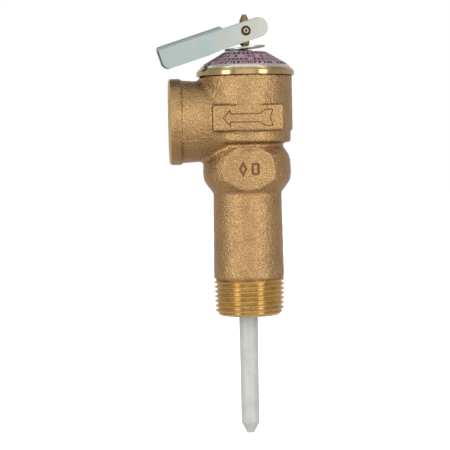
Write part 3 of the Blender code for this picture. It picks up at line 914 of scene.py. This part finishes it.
def disc_stack():
    """Holder, rubber disc and retainer that close the seat."""
    low, high = DISC_LOW.z, DISC_HIGH.z
    foot, top = HOLDER_LOW.z, HOLDER_HIGH.z
    holder = [
        (11.8, foot, 0.2), (11.8, 76.2, 0.2), (10.9, 76.2, 0.2), (10.7, 74.8, 0.3), (5.4, 74.8, 0.3),
        (5.0, top, 0.3), (1.6, top), (1.6, 76.3), (3.2, 76.3), (3.2, high + 0.3),
        (10.9, high + 0.3), (10.9, foot),
    ]
    disc = [(3.2, low), (10.6, low, 0.4), (10.6, high, 0.2), (3.2, high)]
    stud = [
        (1.6, STUD_LOW.z), (5.9, STUD_LOW.z, 0.2), (6.5, STUD_LOW.z + 0.6, 0.1), (6.5, 69.0, 0.2),
        (2.9, 69.0), (2.9, STUD_HIGH.z), (1.6, STUD_HIGH.z),
    ]
    for name, outline, look, slot, node in (
        ("holder", holder, SHADED_STEM_BRASS, "brass", "disc_holder"),
        ("disc", disc, RUBBER, "rubber", "seat_disc"),
        ("retainer", stud, SHADED_STEM_BRASS, "brass", "disc_retainer"),
    ):
        made = turned(name, outline, 96, steps=3)
        finish_piece(made, (look,), "disc_and_stem", (node,))


def spring():
    """The coil spring, made to the CAD spring's length."""
    turns, end_turns, end_pitch = 5.6, 0.9, 2.3
    wire_r, coil_r = 1.0, 8.5
    low, high = SPRING_LOW.z + wire_r, SPRING_HIGH.z - wire_r
    middle_turns = turns - 2 * end_turns
    pitch = (high - low - 2 * end_turns * end_pitch) / middle_turns
    steps, sides = 340, 14
    points = []
    for i in range(steps + 1):
        turn = turns * i / steps
        middle = min(max(turn - end_turns, 0), middle_turns)
        height = low + middle * pitch + (turn - middle) * end_pitch
        for j in range(sides):
            around = math.tau * j / sides
            radius = coil_r + wire_r * math.cos(around)
            angle = math.tau * turn
            points.append(
                (
                    radius * math.cos(angle),
                    radius * math.sin(angle),
                    height + wire_r * math.sin(around),
                )
            )
    faces = [list(range(sides)), list(range(steps * sides, (steps + 1) * sides))]
    for i in range(steps):
        for j in range(sides):
            k = (j + 1) % sides
            near, far = i * sides, (i + 1) * sides
            faces.append([near + j, near + k, far + k, far + j])
    made = solid("coil_spring", points, faces)
    finish_piece(made, (SPRING_WIRE,), "casing", ("main_spring",), 50)
    return made


def hidden_pieces():
    """CAD nodes whose shape is right keep it and take a finished material."""
    looks = {
        "bonnet_gasket": RUBBER,
        "stem_bush": SHADED_STEM_BRASS,
        "stem_seal": RUBBER,
        "upper_spring_seat": BONNET_STEEL,
        "guide_spider": MACHINED,
        "thermostat_clip": BONNET_STEEL,
        "thermostat_head": SHADED_STEM_BRASS,
        "probe_tube": COPPER,
        "probe_charge": WAX,
        "push_rod": SHADED_STEM_BRASS,
        "stem_clip": BONNET_STEEL,
    }
    for node, look in looks.items():
        made = frame["nodes"][node]
        made.data.materials.clear()
        made.data.materials.append(look)


# ---------------------------------------------------------------- studio


CAMERA_AZIMUTH = math.radians(-3.0)
CAMERA_DISTANCE = 0.576
CAMERA_HEIGHT = 0.0648
CAMERA_ROLL = math.radians(1.15)
FOCUS_HEIGHT = 0.0345
FOCUS_SHIFT = -0.00887
FIELD_OF_VIEW = 2 * math.atan(225 / 1501)


def camera():
    """A long lens at the height of the arrow pad, looking slightly down."""
    right = Vector((math.cos(CAMERA_AZIMUTH), math.sin(CAMERA_AZIMUTH), 0))
    back = Vector((math.sin(CAMERA_AZIMUTH), -math.cos(CAMERA_AZIMUTH), 0))
    focus = right * FOCUS_SHIFT + Vector((0, 0, FOCUS_HEIGHT))
    eye = right * FOCUS_SHIFT + back * CAMERA_DISTANCE + Vector((0, 0, CAMERA_HEIGHT))
    lens = bpy.data.cameras.new("camera")
    lens.angle = FIELD_OF_VIEW
    lens.clip_start = 0.01
    lens.clip_end = 50
    made = bpy.data.objects.new("camera", lens)
    bpy.context.collection.objects.link(made)
    aim = (focus - eye).to_track_quat("-Z", "Y").to_matrix().to_4x4()
    made.matrix_world = Matrix.Translation(eye) @ aim @ Matrix.Rotation(-CAMERA_ROLL, 4, "Z")
    bpy.context.scene.camera = made


def softbox(name, azimuth, elevation, distance, size, watts):
    """A rectangular light that faces the valve's middle. Azimuth 0 is the camera's side."""
    turn = CAMERA_AZIMUTH + math.radians(azimuth)
    rise = math.radians(elevation)
    back = Vector(
        (math.sin(turn) * math.cos(rise), -math.cos(turn) * math.cos(rise), math.sin(rise))
    )
    light = bpy.data.lights.new(name, "AREA")
    light.shape = "RECTANGLE"
    light.size, light.size_y = size
    light.energy = watts
    made = bpy.data.objects.new(name, light)
    bpy.context.collection.objects.link(made)
    middle = Vector((0, 0, 0.05))
    made.location = middle + back * distance
    made.rotation_mode = "QUATERNION"
    made.rotation_quaternion = (-back).to_track_quat("-Z", "Y")


def studio():
    """Two tall softboxes either side of the camera, a soft front and top, and a pale floor."""
    softbox("strip_left", -46, 8, 0.6, (0.21, 0.8), 1.45)
    softbox("strip_right", 41, 8, 0.6, (0.19, 0.8), 1.4)
    softbox("front", 0, 4, 0.9, (0.8, 0.8), 1.05)
    softbox("high_front", 0, 42, 0.9, (0.7, 0.4), 0.8)
    softbox("top", 0, 85, 0.6, (0.6, 0.6), 0.45)
    world = bpy.data.worlds.new("studio")
    world.use_nodes = True
    tree = world.node_tree
    direction = tree.nodes.new("ShaderNodeTexCoord")
    height = tree.nodes.new("ShaderNodeSeparateXYZ")
    tree.links.new(direction.outputs["Generated"], height.inputs[0])
    walls = tree.nodes.new("ShaderNodeValToRGB")
    tree.links.new(height.outputs["Z"], walls.inputs[0])
    walls.color_ramp.elements[0].position = 0.25
    walls.color_ramp.elements[0].color = (0.64, 0.58, 0.565, 1)
    walls.color_ramp.elements[1].position = 0.75
    walls.color_ramp.elements[1].color = (0.42, 0.395, 0.38, 1)
    mix = tree.nodes.new("ShaderNodeMix")
    mix.data_type = "RGBA"
    tree.links.new(walls.outputs["Color"], mix.inputs[6])
    mix.inputs[7].default_value = (1.0, 1.0, 1.0, 1)
    path = tree.nodes.new("ShaderNodeLightPath")
    tree.links.new(path.outputs["Is Camera Ray"], mix.inputs[0])
    tree.links.new(mix.outputs[2], tree.nodes["Background"].inputs["Color"])
    bpy.context.scene.world = world
    bpy.context.scene.view_settings.view_transform = "Standard"

    size, level = 6.0, -0.16
    corners = [(-size, -size, level), (size, -size, level), (size, size, level), (-size, size, level)]
    mesh = bpy.data.meshes.new("floor")
    mesh.from_pydata(corners, [], [(0, 1, 2, 3)])
    floor = bpy.data.objects.new("floor", mesh)
    bpy.context.collection.objects.link(floor)
    look = Look("floor", Roughness=0.9)
    look.set(Base_Color=(0.8, 0.8, 0.8, 1), Emission_Color=(1, 1, 1, 1), Emission_Strength=0.9)
    mesh.materials.append(look.material)
    floor.visible_glossy = False
    floor.visible_diffuse = False


cast_body()
inlet_thread()
retaining_ring()
bonnet()
label()
stem()
lever()
lever_pin()
rocking_plate()
thrust_washer()
probe_sheath()
disc_stack()
coil = spring()
hidden_pieces()
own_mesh(coil)
camera()
studio()
